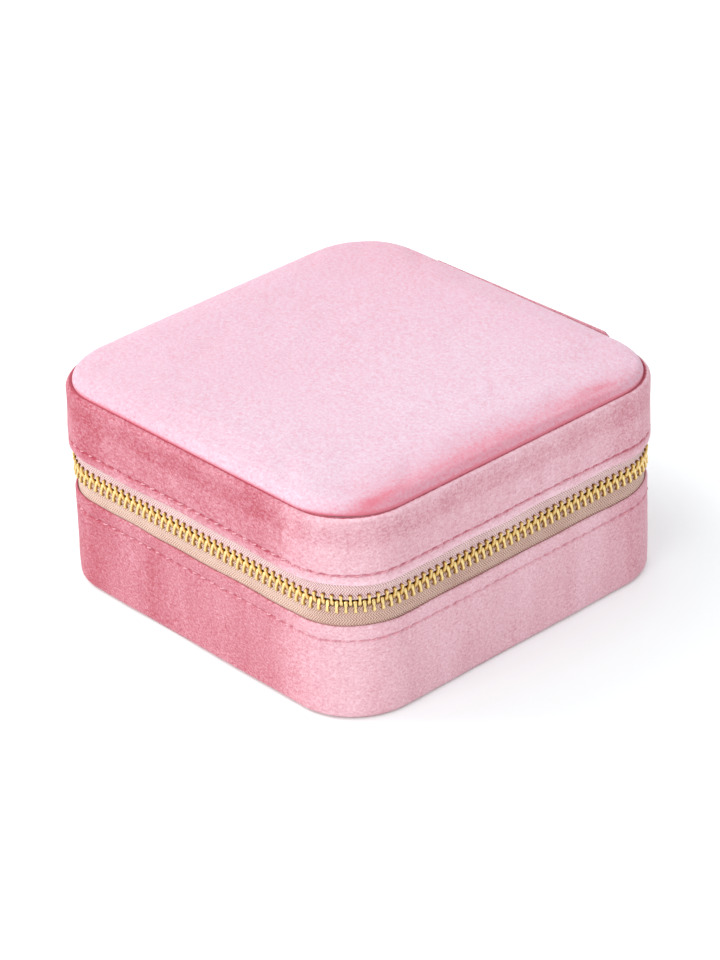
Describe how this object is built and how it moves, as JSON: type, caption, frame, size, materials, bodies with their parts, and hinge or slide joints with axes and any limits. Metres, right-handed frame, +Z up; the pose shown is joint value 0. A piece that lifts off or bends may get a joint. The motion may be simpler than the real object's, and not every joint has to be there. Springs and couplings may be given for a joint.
{
  "type": "travel jewelry case",
  "caption": "Square velvet travel jewelry case with a padded lid, a metal zip round three sides and a lined inside.",
  "frame": {"origin": "centre of the flat bottom face, where the case stands", "axes": "+Z up through the lid, +Y towards the hinge side at the back, +X to the right seen from the front (-Y)"},
  "size_m": [0.104, 0.1011, 0.0515],
  "materials": {
    "velvet": "short-pile velvet with a directional nap",
    "lining": "fine brushed lining over thin card",
    "board": "plain grey board",
    "foam": "open-cell foam",
    "tape": "herringbone woven zip tape",
    "thread": "twisted polyester sewing thread",
    "brass": "polished light gold plating",
    "mirror": "silvered glass"
  },
  "bodies": {
    "base": {"base_shell": "board", "base_side_velvet": "velvet", "base_bottom_panel": "velvet", "base_lining_wall": "lining", "base_floor_lining": "lining", "base_stitching": "thread", "long_divider": "lining", "cross_divider_1": "lining", "cross_divider_2": "lining", "ring_roll_1": "lining", "ring_roll_2": "lining", "ring_roll_3": "lining", "ring_roll_4": "lining", "ring_roll_5": "lining", "ring_roll_6": "lining", "ring_roll_7": "lining", "zip_tape_lower": "tape", "zip_teeth_lower": "brass", "hinge_strip_lower": "velvet", "hinge_lining_lower": "lining", "end_stop_left_lower": "brass", "end_stop_right_lower": "brass"},
    "lid": {"lid_shell": "board", "lid_side_velvet": "velvet", "lid_foam_pad": "foam", "lid_top_velvet": "velvet", "lid_lining_wall": "lining", "lid_lining_panel": "lining", "mirror_glass": "mirror", "mirror_frame": "lining", "lid_stitching": "thread", "zip_tape_upper": "tape", "zip_teeth_upper": "brass", "hinge_strip_upper": "velvet", "hinge_lining_upper": "lining", "end_stop_left_upper": "brass", "end_stop_right_upper": "brass"},
    "zip_slider": {"slider_body": "brass", "slider_crown": "brass"},
    "zip_pull": {"pull_link": "brass", "pull_tab": "brass"}
  },
  "joints": [
    {"name": "lid_hinge", "type": "hinge", "parent": "base", "child": "lid", "pos_m": [0, 0.0511, 0.028], "axis": [-1, 0, 0], "range_deg": [0, 175]},
    {"name": "slider_travel", "type": "slide", "parent": "base", "child": "zip_slider", "axis": [0, -1, 0], "range_m": [0, 0.059]},
    {"name": "pull_swing", "type": "hinge", "parent": "zip_slider", "child": "zip_pull", "pos_m": [-0.05255, 0.028, 0.028], "axis": [0, 1, 0], "range_deg": [0, 170]}
  ]
}
